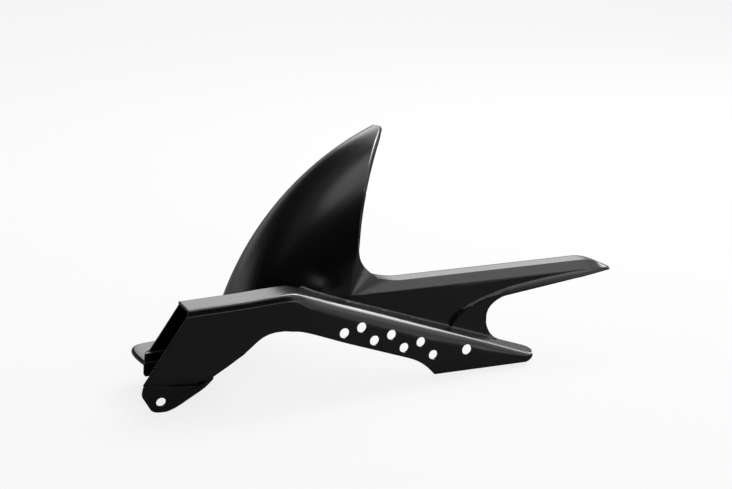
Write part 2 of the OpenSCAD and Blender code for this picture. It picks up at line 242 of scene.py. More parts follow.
def vertex_normals(points, quads):
    p = points[quads]
    face = np.cross(p[:, 2] - p[:, 0], p[:, 3] - p[:, 1])
    total = np.zeros_like(points)
    for k in range(4):
        np.add.at(total, quads[:, k], face)
    return total / np.maximum(np.linalg.norm(total, axis=1, keepdims=True), 1e-9)


def thick_sheet(outer, inner, quads, edge_r=EDGE_R):
    """A closed wall between two sheets of points, with its rim rounded over."""
    edges = np.concatenate([quads[:, [k, (k + 1) % 4]] for k in range(4)])
    have = set(map(tuple, edges))
    border = np.array([e for e in map(tuple, edges) if (e[1], e[0]) not in have and e[0] != e[1]])
    normal = vertex_normals(outer, quads)
    along = outer[border[:, 1]] - outer[border[:, 0]]
    away = np.cross(along, normal[border[:, 0]] + normal[border[:, 1]])
    out = np.zeros_like(outer)
    for k in range(2):
        np.add.at(out, border[:, k], away)
    rim = np.unique(border)
    out[rim] /= np.maximum(np.linalg.norm(out[rim], axis=1, keepdims=True), 1e-9)
    down = inner[rim] - outer[rim]
    deep = np.maximum(np.linalg.norm(down, axis=1, keepdims=True), 1e-9)
    down = down / deep
    r = np.minimum(edge_r, deep * EDGE_SHARE)
    side = out[rim] * r
    top, low = outer[rim].copy(), inner[rim].copy()
    outer, inner = outer.copy(), inner.copy()
    outer[rim] = top - side
    inner[rim] = low - side
    n = len(outer)
    loops = [top - EDGE_MID * side + EDGE_MID * r * down, top + r * down,
             low - r * down, low - EDGE_MID * side - EDGE_MID * r * down]
    points = np.concatenate([outer, inner] + loops)
    place = np.full(n, -1)
    place[rim] = np.arange(len(rim))
    m = len(rim)
    faces = [tuple(q) for q in quads] + [tuple(q[::-1] + n) for q in quads]
    for a, b in border:
        ring_a = [a] + [2 * n + k * m + place[a] for k in range(4)] + [n + a]
        ring_b = [b] + [2 * n + k * m + place[b] for k in range(4)] + [n + b]
        for k in range(5):
            faces.append((ring_b[k], ring_a[k], ring_a[k + 1], ring_b[k + 1]))
    return points, faces


def walled(outer, inner, edge_r=EDGE_R, turned=False):
    """A closed wall between two grids of points."""
    index = np.arange(outer.shape[0] * outer.shape[1]).reshape(outer.shape[:2])
    quads = grid_quads(index)
    if turned:
        quads = quads[:, ::-1]
    return thick_sheet(outer.reshape(-1, 3), inner.reshape(-1, 3), quads, edge_r)


def mesh_object(name, parts):
    """One object from several closed shells, each a pair of points and faces."""
    points, faces, start = [], [], 0
    for p, f in parts:
        points.append(np.asarray(p, float) * MM)
        faces += [tuple(int(v) + start for v in q) for q in f]
        start += len(p)
    mesh = bpy.data.meshes.new(name)
    mesh.from_pydata(np.concatenate(points).tolist(), [], faces)
    mesh.update()
    piece = bpy.data.objects.new(name, mesh)
    bpy.context.scene.collection.objects.link(piece)
    return piece


# Tyre cover in polar form about the axle

def taper(a):
    """0 low on the fin, rising to 1 at its tip."""
    return np.clip(1 - (TIP_ANGLE - a) / TAPER_ANGLE, 0, 1)


def near_edge(a):
    """Sideways place of the fin's near edge, from 1 at the flank to past the middle at the tip."""
    return 1 - (1 + TIP_PAST) * taper(a) ** NEAR_POWER


def far_edge(a):
    """The same for the far edge, which starts at -1."""
    return (1 - TIP_PAST - TIP_BLUNT) * taper(a) ** FAR_POWER - 1


def bow(u):
    """Angle along the cover's section for a sideways place."""
    return np.sign(u) * np.degrees(np.arcsin(np.clip(np.abs(u), 0, 1) ** (SQUARENESS / 2)))


def cover_y(b):
    return WHEEL_Y - COVER_HALF * np.sign(b) * np.abs(sind(b)) ** (2 / SQUARENESS)


def cover_r(b):
    return CROWN_R - FLANK_DEPTH * (1 - np.abs(cosd(b)) ** (2 / SQUARENESS))


def line_angle(r, up):
    """Wheel angle at which a radius meets the guard's slope, moved up by a distance."""
    return GUARD_SLOPE + np.degrees(np.arcsin((LINE_R + up) / r))


def apron_angle(r):
    return np.degrees(np.arcsin((APRON_Z - AXLE_Z) / r))


def low_angle(b):
    """Wheel angle of the cover's lower edge: on the guard's slope near it, level beyond the crown."""
    r = cover_r(b)
    over = mix(apron_angle(r), line_angle(ROOT_R, -SINK), np.clip((CROWN_R - r) / ROOT_DROP, 0, 1) ** 1.3)
    near = np.where(r > ROOT_R, over, line_angle(np.minimum(r, ROOT_R), -SINK))
    return np.where(b <= 0, apron_angle(r), near)


ROOT_R = CROWN_R - ROOT_DROP
FOLD_Z = WING_Z - BEVEL_H
BEVEL_ANGLE = math.degrees(math.asin((FOLD_Z - AXLE_Z) / FLANK_R))
FILLET_ANGLE = BEVEL_ANGLE + 4.7
REAR_TURN = 1.7
REAR_ANGLE = FILLET_ANGLE + REAR_TURN
LOW_EDGE = float(line_angle(FLANK_R, -SINK))
KNEE_ANGLE = LOW_EDGE + (BEVEL_ANGLE - LOW_EDGE) * 0.42

ROWS_ROOT = 16
ROWS_SIDE = 24
ROWS_LIP = 15
ROWS_BEVEL = 9
ROWS_FILLET = 16
ROWS_REAR = 70
SEAM = ROWS_ROOT + ROWS_SIDE + ROWS_BEVEL
FLANGE_COLS = np.array([0, 0.05, 0.12, 0.22, 0.4, 0.6, 0.8, 1.0])
EDGE_STEPS = np.concatenate([[0, 0.5, 1.1, 1.8, 2.4, 2.9, 3.3, 3.8, 4.6, 6, 8], np.arange(10, 56, 2.0)])
COVER_COLS = 102
ROW_BLEND = 45.0


def root_steps(n):
    """Fractions that start close together, for the small fillet at a root."""
    q = np.arange(n + 1) / n
    return 0.45 * q ** 2 + 0.55 * q


def row_table():
    """Edge angle, even angle, near bow and far bow of each row of the cover."""
    seam = np.concatenate([mix(LOW_EDGE, KNEE_ANGLE, root_steps(ROWS_ROOT)),
                           mix(KNEE_ANGLE, BEVEL_ANGLE, spread(ROWS_SIDE)),
                           mix(BEVEL_ANGLE, FILLET_ANGLE, spread(ROWS_BEVEL))])
    q = spread(ROWS_FILLET)
    fillet = FILLET_ANGLE + 2 * REAR_TURN * q * q - REAR_TURN * q
    rear = mix(REAR_ANGLE, TIP_ANGLE, spread(ROWS_REAR))
    edge = np.concatenate([seam, fillet, rear])
    # Away from the edge the rows of the bevel and the fillet have as much room as the others
    low = seam[:-ROWS_BEVEL]
    even = np.concatenate([low - smooth((low - BEVEL_ANGLE + 8) / 8),
                           mix(BEVEL_ANGLE - 1, REAR_ANGLE + 2, spread(ROWS_BEVEL + ROWS_FILLET)),
                           mix(REAR_ANGLE + 2, TIP_ANGLE, spread(ROWS_REAR))])
    rear_bow = float(bow(near_edge(REAR_ANGLE)))
    near = np.concatenate([np.full(len(seam), 90.0), mix(90.0, rear_bow, q), bow(near_edge(rear))])
    return edge, even, near, soft_max(bow(far_edge(even)), FAR_BOW, FAR_SOFT)


def section_steps(b0, b1):
    """Bows spread by length along the section, closer together at the near edge."""
    table = np.linspace(b0, b1, 900)
    length = line_lengths(np.stack([cover_y(table), cover_r(table)], axis=-1))
    close = EDGE_STEPS * min(1.0, length[-1] / (1.8 * EDGE_STEPS[-1]))
    rest = np.linspace(close[-1], length[-1], COVER_COLS - len(close) + 2)[1:]
    steps = np.concatenate([close, rest])
    return np.interp(steps, length, table), steps


def flared(y, r, a, b):
    """The near flank flares out to the guard's inner edge just above it."""
    up = r * sind(a - GUARD_SLOPE) - LINE_R
    on = np.where(b > 0, smooth((ROOT_R + 10 - r) / 30), 0)
    f = mix(1, smooth(up / ROOT_H), on)
    return mix(np.minimum(y, INNER_Y - SINK / 2), y, f)


def root_fillet(x, z, width):
    """Small hollow fillet where a wall stands on the guard's top."""
    up = np.clip(z - top_z(x), 0, width)
    return width - np.sqrt(np.maximum(width ** 2 - (width - up) ** 2, 0))


# Folds of the wing's side: the bevel, and the corner where it fans out under the fin
FAN_X, FAN_Z = 224.0, FOLD_Z
FAN_FROM = 14.0
FAN_END, FAN_FADE = 310.0, 60.0
FAN_SLOPE = np.array([[14, 0.0232], [22, 0.0325], [35, 0.0385], [45, 0.0395], [55, 0.038], [65, 0.031],
                      [72, 0.021], [77, 0.010], [81, 0]])


def nose(x):
    """0 along the wing, rising to 1 at its tip."""
    return np.clip((x - WING_END + NOSE_L) / NOSE_L, 0, 1)


def crease_z(x):
    """Height of the crease between bevel and flange."""
    start = AXLE_X - FLANK_R * cosd(FILLET_ANGLE)
    lift = CREASE_LIFT * (1 - np.clip((x - start) / CREASE_RUN, 0, 1)) ** 2
    return WING_Z + lift - NOSE_DROP * nose(x) ** 2


def crease_line():
    """The crease seen from the fan's apex: angles, how far off it is, and the fan's slope at each."""
    edge, _, near, _ = row_table()
    r = cover_r(near[SEAM:])
    x, z = AXLE_X - r * cosd(edge[SEAM:]), AXLE_Z + r * sind(edge[SEAM:])
    level = np.arange(450, x[0], -2.0)
    x, z = np.concatenate([level, x[z < 150]]), np.concatenate([crease_z(level), z[z < 150]])
    turn = np.degrees(np.arctan2(z - FAN_Z, x - FAN_X))
    order = np.argsort(turn)
    grid = np.arange(2, 80, 0.5)
    reach = np.interp(grid, turn[order], np.hypot(x - FAN_X, z - FAN_Z)[order])
    slope = np.where(grid < FAN_FROM, sind(grid) / BEVEL_H, np.interp(grid, *FAN_SLOPE.T))
    slope = np.concatenate([slope[:10], np.convolve(slope, np.ones(9) / 9, "same")[10:-4], slope[-4:]])
    return grid, reach, slope


def fan_depth(x, z):
    """Depth of the bevel behind the flank: 0 at its fold, 1 at the crease, and fanned out under the fin."""
    strip = np.clip((z - FOLD_Z) / (crease_z(x) - FOLD_Z), 0, 1)
    dx, dz = x - FAN_X, z - FAN_Z
    turn = np.degrees(np.arctan2(dz, dx))
    grid, reach, slope = CREASE
    low = np.interp(turn, [0, grid[0]], [0, 1])
    cone = np.minimum(np.hypot(dx, dz), np.interp(turn, grid, reach)) * np.interp(turn, grid, slope) * low
    cone = cone * (turn > 0) * (turn < 100)
    return mix(cone, strip, smooth((x - FAN_END) / FAN_FADE))


CREASE = crease_line()


def cover_points():
    """Points of the cover's outer face: rows across it, columns from the near edge."""
    edge, even, near, far = row_table()
    free = smooth((even - LOW_EDGE) / 16)
    rows = []
    for i in range(len(edge)):
        b, steps = section_steps(near[i], far[i])
        r = cover_r(b)
        base = mix(edge[i], even[i], 1 - (1 - np.clip(steps / ROW_BLEND, 0, 1)) ** 2)
        a = base + (1 - free[i]) * (low_angle(b) - low_angle(near[i]))
        y = flared(cover_y(b), r, a, b)
        x, z = AXLE_X - r * cosd(a), AXLE_Z + r * sind(a)
        patch = FLANK_Y + BEVEL_IN * fan_depth(x, z)
        y = np.where((b > 40) & (z > FAN_Z), soft_max(y, patch, BEVEL_SOFT) - BEVEL_SINK, y)
        on = np.where((b > 0) & (r < ROOT_R), 1.0, 0.0)
        y = y - on * root_fillet(x, z, ROOT_FILLET)
        rows.append(np.stack([x, y, z], axis=-1))
    return np.array(rows)


# Wing in upright stations. Each has a foot, a knee, the bevel's fold and the crease.
FRONT_STATIONS = 44
LIP_STATIONS = 56
# Down to the notch: foot x, knee z and top x
NOTCH = [[348, 47, 349], [356, 45, 356], [364, 40, 363], [372, 36, 369.5], [380, 33, 375.5], [387, 31, 379.5]]
# Corner of the notch, x and z, with its top x and the place where its lip is measured
ARC = np.array([[402, 12.5], [399.5, 13.8], [396, 16.6], [393, 20], [390.8, 24.2], [389.3, 28],
                [388.4, 31.8]])
ARC_TOP_X, ARC_LIP_X = 383.5, 386.0
# Round the notch to the lip: foot x, foot z and top x
NOTCH_BACK = [[388.2, 35.4, 387], [388.2, 39.4, 389.5], [388.8, 43.4, 394], [390.5, 47.8, 399.5],
              [393.2, 51.6, 405], [397, 55, 410], [401.5, 58, 414], [407, 60.5, 418.5], [412, 61.7, 423]]
LIP_RISE = 0.12
LIP_LATE, LIP_LATE_RUN = 384.0, 40.0
LIP_STEP, LIP_LATE_STEP = 2.6, 7.0
JOGGLE = np.array([[340, 28], [345, 40], [351, 47], [365, 55], [378, 60.3], [390, 64.5], [398, 67],
                   [415, 70.8], [440, 74.3], [463, 77], [494, 79.8], [518, 80.6], [533, 80.4], [550, 78.8]])


def lip_joint(x, low, fold):
    """Share of the side, from its lower edge to the fold, that the lip takes up."""
    share = (np.interp(x, *JOGGLE.T) - low) / max(fold - low, 0.5)
    return float(np.clip(share, 0.25, 0.85))


def lip(x, z):
    """How far the lip along the wing's lower edge stands out at a point of its side."""
    line, before, after = (np.interp(x + step, *JOGGLE.T) for step in (0, -3, 3))
    under = (line - z) / np.hypot(1, (after - before) / 6)
    late = smooth((x - LIP_LATE) / LIP_LATE_RUN)
    f = np.clip(under / mix(LIP_STEP, LIP_LATE_STEP, late), 0, 1)
    bulged = 1.2 * (0.45 * f + 0.55 * (1 - (1 - f) ** 2))
    return LIP_OUT * mix(f, bulged, late) * mix(1, 0.55, nose(x)) * smooth((x - LIP_START) / 6)


def side_steps(joint):
    """Fractions from knee to fold, close together under the lip's top line."""
    if joint is None:
        return spread(ROWS_SIDE)
    under = np.sin(spread(ROWS_LIP) * math.pi / 2)
    over = spread(ROWS_SIDE - ROWS_LIP)
    return np.concatenate([joint * under, joint + (1 - joint) * over ** 1.6])


def station_line(foot, knee, fold, crease, joint):
    """Points of one station in side view: foot to knee, knee to the bevel's fold, fold to crease."""
    foot, knee, fold, crease = (np.array(p, float) for p in (foot, knee, fold, crease))
    root = mix(foot, knee, root_steps(ROWS_ROOT)[:, None])
    side = mix(knee, fold, side_steps(joint)[:, None])
    bevel = mix(fold, crease, spread(ROWS_BEVEL)[:, None])
    return np.concatenate([root, side, bevel])


def stations(control, many):
    """Rows between the rows of a table, many to a gap, without the first row."""
    control = np.array(control, float)
    place = np.arange(len(control))
    return at_lengths(control, place, np.linspace(0, place[-1], many * place[-1] + 1)[1:])


def seam_point(angle):
    """Where a row of the near flank meets the wing."""
    return AXLE_X - FLANK_R * cosd(angle), AXLE_Z + FLANK_R * sind(angle)


def wing_lines():
    """Side-view points of the stations, and how many of the first rows each leaves out."""
    lines, skip = [], []

    def add(foot, knee, fold_x, top_x, joint=None, left_out=0, fold=FOLD_Z):
        lines.append(station_line(foot, knee, [fold_x, fold], [top_x, crease_z(top_x)], joint))
        skip.append(left_out)

    # Under the fin, standing on the guard
    seam_x = seam_point(LOW_EDGE)[0]
    knee_x, knee_z = seam_point(KNEE_ANGLE)
    fold_x, top_x = seam_point(BEVEL_ANGLE)[0], seam_point(FILLET_ANGLE)[0]
    last_x, last_knee, last_top = NOTCH[0]
    for q in spread(FRONT_STATIONS):
        x, xk = mix(seam_x, last_x, q), mix(knee_x, last_x, q)
        knee_up = mix(knee_z - top_z(knee_x), last_knee - top_z(last_x), q)
        add([x, top_z(x) - SINK], [xk, top_z(xk) + knee_up],
            mix(fold_x, last_top, q), mix(top_x, last_top, q))

    # Down to the notch, and its corner
    for x, zk, xt in stations(NOTCH, 4):
        add([x, top_z(x) - SINK], [mix(x, xt, 0.2), zk], xt, xt, lip_joint(mix(x, xt, 0.6), zk, FOLD_Z))
    add(ARC[0], ARC[-1], ARC_TOP_X, ARC_TOP_X, lip_joint(ARC_LIP_X, ARC[-1][1], FOLD_Z))
    arc_length = line_lengths(ARC)
    lines[-1][:ROWS_ROOT + 1] = at_lengths(ARC, arc_length, root_steps(ROWS_ROOT) * arc_length[-1])

    # Round the notch, and along the lip to the tip
    for x, z, xt in stations([[ARC[-1][0], ARC[-1][1], ARC_TOP_X]] + NOTCH_BACK, 3):
        add([x, z], [x, z], xt, xt, lip_joint(x, z, FOLD_Z), ROWS_ROOT)
    lip_x, lip_z, lip_top = NOTCH_BACK[-1]
    for q in spread(LIP_STATIONS):
        x, xt = mix(lip_x, WING_END - 1, q), mix(lip_top, WING_END, q)
        z = lip_z + LIP_RISE * (x - lip_x)
        fold = min(FOLD_Z, mix(z, crease_z(xt), mix(0.66, 0.5, nose(xt))))
        fold = max(mix(FOLD_Z, fold, smooth((xt - 440) / 50)), z + 0.4)
        add([x, z], [x, z], xt, xt, lip_joint(x, z, fold), ROWS_ROOT, fold)
    return lines, skip


def body_shell():
    """Cover, rim and wing as one closed sheet."""
    cover = cover_points()
    rows, cols = cover.shape[:2]
    index = np.arange(rows * cols).reshape(rows, cols)
    count = rows * cols
    quads = [grid_quads(index)]
    normal = vertex_normals(cover.reshape(-1, 3), quads[0]).reshape(rows, cols, 3)

    # Shallow step along the rear edge of the fin
    edge = row_table()[0]
    grow = smooth((edge - REAR_ANGLE + 1) / 3) * smooth((TIP_ANGLE - edge) / 3) * (np.arange(rows) > SEAM)
    strip = np.zeros(cols)
    strip[:len(EDGE_STEPS)] = smooth((BEAD_W + 0.8 - EDGE_STEPS) / 1.6)
    cover = cover - normal * (BEAD_H * grow[:, None] * strip[None, :])[:, :, None]
    points = [cover.reshape(-1, 3)]

    # Rim turned in behind the fin's edge, and the wing's flange, share their columns
    rim_rows = np.arange(rows - SEAM)
    reach = mix(FLANGE_W, RIM_W, smooth(rim_rows / (ROWS_FILLET * 1.1)))
    lean = smooth(rim_rows / ROWS_FILLET)[:, None]
    inward = mix(np.array([[0, -1.0, 0]]), normal[SEAM:, 4], lean)
    inward /= np.linalg.norm(inward, axis=1, keepdims=True)
    out = (reach[:, None] * FLANGE_COLS[None, 1:])[:, :, None]
    rim = cover[SEAM:, 0][:, None, :] - inward[:, None, :] * out
    rim_index = count + np.arange(rim.shape[0] * rim.shape[1]).reshape(rim.shape[:2])
    points.append(rim.reshape(-1, 3))
    count += rim_index.size
    both = np.concatenate([index[SEAM:, :1], rim_index], axis=1)
    quads.append(grid_quads(both)[:, ::-1])

    # Wing, each station joined to the one before it
    before = np.concatenate([index[:SEAM + 1, 0], rim_index[0]])
    missing = 0
    for line, left_out in zip(*wing_lines()):
        x, z = line[:, 0], line[:, 1]
        depth = fan_depth(x, z)
        y = FLANK_Y + BEVEL_IN * depth - lip(x, z)
        y = y - root_fillet(x, z, ROOT_FILLET) * (x < ARC[0, 0] + 2) * (z < top_z(x) + 8)
        y[-1] = FLANK_Y + BEVEL_IN * max(1.0, float(depth[-1]))
        tip = float(nose(x[-1]))
        wide = FLANGE_W * (1 - 0.75 * tip ** 2)
        flange = np.array([x[-1], y[-1], z[-1]]) + FLANGE_COLS[1:, None] * np.array([-2 * tip, wide, 0])
        points.append(np.concatenate([np.stack([x, y, z], axis=-1)[left_out:], flange]))
        here = np.full(len(before), -1)
        here[left_out:] = count + np.arange(len(before) - left_out)
        count += len(before) - left_out
        first = max(left_out, missing)
        new, old = here[first:], before[first:]
        quads.append(np.stack([new[:-1], new[1:], old[1:], old[:-1]], axis=-1))
        before, missing = here, left_out
    outer = np.concatenate(points)
    quads = np.concatenate(quads)

    # Soften the long crease between bevel and flange, and the fin's rear edge
    soft = outer.copy()
    crease = index[SEAM:, 0]
    soft[crease] = 0.5 * outer[crease] + 0.25 * (outer[index[SEAM:, 1]] + outer[rim_index[:, 0]])
    normal = vertex_normals(soft, quads)
    near_tip = smooth((soft[:, 0] - WING_END + 45) / 45) * (soft[:, 2] > 50)
    inner = soft - normal * (WALL * mix(1, NOSE_WALL, near_tip))[:, None]

    # Inside corner behind the fin's edge
    corner = soft[index[SEAM:, 5]] - normal[index[SEAM:, 6]] * WALL
    for col in range(6):
        ids = index[SEAM:, col]
        inner[ids] = mix(inner[ids], corner, lean)
    rim_normal = normal[rim_index[:, 4]]
    for col, share in enumerate(FLANGE_COLS[1:]):
        ids = rim_index[:, col]
        short = np.maximum(WALL + 0.2 - reach * share, 0)[:, None]
        inner[ids] = mix(inner[ids], soft[ids] - short * inward - rim_normal * WALL, lean)
    return thick_sheet(soft, inner, quads)


# Guard in slanted stations: foot of the outer side, facet, top edge, flange
MOUTH_FOOT = np.array([[-19.5, 21.5], [8, 20.8], [36, 19.5], [50, 18], [57, 22.5], [72, 31], [90, 42],
                       [98, 48.5], [105, 54], [111, 58], [118, 60.8], [126, 62.2], [136, 62.2], [146, 60.5]])
SIDE_H = 24.0
# Depth under the top line and sideways place of the crisp edge at the chute, and depth of the round one
CRISP_H = np.array([24, 18, 14, 11, 9, 8, 7.5, 7.2, 6.9, 6.5, 5.4, 4.2, 3.1, 2.2, 1.5, 0.9, 0.45, 0.15,
                    0.02, 0])
CRISP_Y = np.array([-4, -4, -4, -4, -4, -4, -4, -3.9, -3.5, -3.3, -3.15, -2.95, -2.7, -2.45, -2.1, -1.6,
                    -1.0, -0.2, 0.8, 2.0])
SOFT_H = np.array([24, 21.5, 19.2, 17, 15, 13, 11.2, 9.6, 8.2, 6.9, 5.7, 4.6, 3.6, 2.8, 2.1, 1.5, 1, 0.6,
                   0.25, 0])


def round_y(h, wide, high):
    """Sideways place of the rounded top edge at a depth below the top line."""
    return OUTER_Y + wide * (1 - np.sqrt(1 - np.clip(1 - h / high, 0, 1) ** 2))


def foot_z(x):
    """Lower edge of the guard's outer side, which drops to the tail's level edge."""
    drop = 11.9 * np.clip((x - TAIL_X + 34) / 34, 0, 1) ** 2.6
    return np.where(x < TAIL_X, top_z(x) - GUARD_DEPTH - drop, TAIL_Z)


def guard_stations():
    """Foot point, top place and steepness of each station."""
    out = []
    place = line_lengths(MOUTH_FOOT)
    for q in np.arange(MOUTH_STATIONS + 1) / MOUTH_STATIONS:
        fx, fz = at_lengths(MOUTH_FOOT, place, q * place[-1])
        out.append((fx, fz, mix(MOUTH_TOP_X, MOUTH_END_X, q), mix(1.075, 1, q)))
    for x in np.linspace(MOUTH_END_X, TAIL_X, GUARD_STATIONS)[1:]:
        out.append((x, float(foot_z(x)), x, 1.0))
    for q in spread(TAIL_STATIONS):
        x = mix(TAIL_X, GUARD_END, 1 - (1 - q) ** 1.6)
        end = np.clip((x - GUARD_END + TAIL_END_R) / TAIL_END_R, 0, 1)
        out.append((x, TAIL_Z + TAIL_END_RISE * (1 - math.sqrt(max(0, 1 - end ** 2))), x, 1.0))
    return out


def guard_shell():
    """Outer side, top edge and flange of the chute, the guard and its tail."""
    outer, inner = [], []
    f = spread(GUARD_COLS)
    for fx, fz, x, steep in guard_stations():
        z = float(top_z(x))
        tall = z - fz
        crisp = 1 - smooth((x - 138) / 34)
        late = smooth((x - 300) / 60)
        wide, high = mix(ROUND_W, TAIL_ROUND_W, late), mix(ROUND_H, TAIL_ROUND_H, late)
        shrink = min(1.0, 0.8 * tall / SIDE_H)
        h = mix(SOFT_H, CRISP_H, crisp) * shrink
        h_in = WALL + h * (1 - WALL / (SIDE_H * shrink))
        y = np.maximum(mix(round_y(SOFT_H, wide, high), CRISP_Y, crisp), OUTER_Y)
        y_in = mix(WALL + round_y(SOFT_H, wide - WALL, high),
                   OUTER_Y + WALL + np.maximum((5.5 - CRISP_H) * 0.9, 0), crisp)
        straight = np.linspace(tall, h[0], GUARD_COLS + 1)[:-1]
        skew = TAIL_SKEW * smooth((x - TAIL_X) / (GUARD_END - TAIL_X))
        bulge = TAIL_BULGE * np.sin(math.pi * np.sqrt(f)) - TAIL_CORNER * f ** 6
        top_x = x + skew * f + smooth((x - 412) / 19) * bulge
        for sheet, deep, sideways, wall in ((outer, h, y, 0), (inner, h_in, y_in, WALL)):
            deep = np.concatenate([straight, deep])
            sideways = np.concatenate([np.full(GUARD_COLS, OUTER_Y + wall), sideways])
            share = np.clip((tall - deep) / tall * steep, 0, 1)
            side = np.stack([mix(fx, x, share), sideways, z - deep], axis=-1)
            top = np.stack([top_x, mix(sideways[-1], INNER_Y, f), top_z(top_x) - wall], axis=-1)
            sheet.append(np.concatenate([side, top]))
    points, faces = walled(np.array(outer), np.array(inner))
    points[:, 1] = np.maximum(points[:, 1], OUTER_Y)
    return points, faces


# Height, start and number of steps inwards of each row of the inner wall, and its lower edge
INNER_ROWS = [[INNER_Z + 1.5, -9.5, 2], [INNER_Z + 4, -11.2, 2], [30, -10.9, 2], [36.2, -10.5, 2],
              [36.9, -10.0, 1], [37.5, -9.2, 1], [40, -8.9, 1], [44.5, -8.4, 1], [46.0, -7.6, 1],
              [46.8, -5.4, 0], [47.5, -2.5, 0]]
INNER_LOW = np.array([[-12, INNER_Z + 1.5], [60, INNER_Z + 4], [80, 30], [100, 39.5], [120, 50],
                      [140, 61], [INNER_BACK - 10, 70.5], [INNER_BACK, 78]])
INNER_COLS = 60
INNER_TOP_ROWS = 26


def inner_wall_shell():
    """Stepped wall between the chute and the wheel, seen through the mouth."""
    y = INNER_Y - 0.5 - WALL
    q = np.arange(INNER_COLS + 1) / INNER_COLS
    outer = []

    def row(start, low, sideways, f=0.0):
        x = mix(start, INNER_BACK, q)
        z = mix(np.maximum(low, np.interp(x, *INNER_LOW.T)), top_z(x) - SINK, f)
        outer.append(np.stack([x, np.full_like(x, sideways), z], axis=-1))

    for z, start, steps in INNER_ROWS:
        row(start, z, y - STEP_W * steps)
    last_z, last_start, _ = INNER_ROWS[-1]
    for f in spread(INNER_TOP_ROWS):
        row(mix(last_start, MOUTH_TOP_X + 1, f), last_z, y, f)
    outer = np.array(outer)
    return walled(outer, outer + np.array([0, WALL, 0]), FINE_EDGE_R, True)


BRIDGE_NEAR_Y = INNER_Y - 2 * STEP_W - 2
BRIDGE_FRONT = np.array([[0, BRIDGE_NEAR_Y], [-2.6, 40], [-4.5, 54], [-5.9, 68], [-6.6, 82], [-6.4, 92],
                         [-5.5, 99], [-4.2, 104], [-2.3, 108.5], [0.3, 112], [3.8, 114.8], [8, 116.8],
                         [16, 118.6], [26, 120], [44, 130], [70, 148], [86, 172], [100, 198], [114, 207],
                         [128, 214]])
BRIDGE_COLS = 90
BRIDGE_ROWS = 14


def bridge_back(q):
    """Rear edge of the bridge: free near the chute, then along the cover's underside."""
    y = np.interp(q, [0, 0.16, 0.36, 0.62, 1], [BRIDGE_NEAR_Y, 50, 78, 132, 214])
    u = np.clip(np.abs((y - WHEEL_Y) / COVER_HALF), 0, 1)
    r = CROWN_R - SINK - FLANK_DEPTH * (1 - (1 - u ** SQUARENESS) ** (1 / SQUARENESS))
    under_cover = AXLE_X - np.sqrt(np.maximum(r ** 2 - (BRIDGE_Z - SINK - AXLE_Z) ** 2, 0))
    free = np.interp(y, [BRIDGE_NEAR_Y, 50, 78], [84, 103, 116])
    return np.stack([np.where(y < 78, free, under_cover), y], axis=-1)


def bridge_shell():
    """Plate across the swingarm, with its front rolled down."""
    length = line_lengths(BRIDGE_FRONT)
    t = np.linspace(0, length[-1], BRIDGE_COLS + 1)
    front = at_lengths(BRIDGE_FRONT, length, t)
    for _ in range(3):
        front[1:-1] = 0.25 * front[:-2] + 0.5 * front[1:-1] + 0.25 * front[2:]
    along = np.gradient(front, axis=0)
    inward = np.stack([along[:, 1], -along[:, 0]], axis=-1)
    inward /= np.linalg.norm(inward, axis=1, keepdims=True)

    def at_height(line, z):
        return np.concatenate([line, np.full((len(line), 1), z)], axis=1)

    outer = [at_height(front, BRIDGE_Z - BRIDGE_RIM)]
    inner = [at_height(front + inward * BRIDGE_RIM_WALL, BRIDGE_Z - BRIDGE_RIM)]
    for a in np.linspace(0, 90, 7):
        place = front + inward * (BRIDGE_ROLL * (1 - cosd(a)))
        outer.append(at_height(place, BRIDGE_Z - BRIDGE_ROLL * (1 - sind(a))))
        place = front + inward * (BRIDGE_ROLL + 0.6 - (BRIDGE_ROLL - BRIDGE_RIM_WALL) * cosd(a))
        inner.append(at_height(place, BRIDGE_Z - BRIDGE_WALL - (BRIDGE_ROLL - 2.4) * (1 - sind(a))))
    flat, low = outer[-1], inner[-1]
    end = at_height(bridge_back(t / length[-1]), BRIDGE_Z)
    for f in spread(BRIDGE_ROWS):
        outer.append(mix(flat, end, f))
        inner.append(mix(low, end - np.array([0, 0, BRIDGE_WALL]), f))
    return walled(np.array(outer), np.array(inner), FINE_EDGE_R, True)


def resampled(line, many, closed=False):
    """Points spread evenly along a line."""
    line = np.array(line, float)
    if closed:
        line = np.concatenate([line, line[:1]])
    length = line_lengths(line)
    points = at_lengths(line, length, np.linspace(0, length[-1], many + 1))
    return points[:-1] if closed else points


def tilted(x, y, z):
    """A point of the tab's drawing, with the tab's lower edge leaning in."""
    c, s = cosd(TAB_TILT), sind(TAB_TILT)
    return np.stack([x, y * c - z * s, y * s + z * c], axis=-1)


TAB_OUTLINE = [[-18, 21.6], [-19.4, 18], [-20.3, 13], [-20.5, 10], [-19.5, 7], [-15.5, 0], [-11.5, -7],
               [-10.3, -8.8], [-8.6, -10.2], [-5, -11.6], [0, -12.2], [5.5, -12.2], [9.5, -11.2],
               [15.5, -8.9], [23, -4.7], [32, 1], [41.7, 7], [47, 10.6], [51, 14.3], [54.5, 17.9],
               [56.5, 20.6], [53.5, 20.2], [50, 17.4], [46, 15.4], [40, 14.4], [25, 15.8], [10, 17.6],
               [-2.5, 19.2]]
TAB_BACK_LOW = [[-17.5, 20.5], [-2.5, 17.5], [25, 13.5], [42, 12], [50, 15], [54, 17.5]]
TAB_BACK_HIGH = [[-17.5, 22.8], [-6, 23.4], [8, 24], [36, 23], [50, 22.5], [54, 22.8], [57.5, 22.3]]


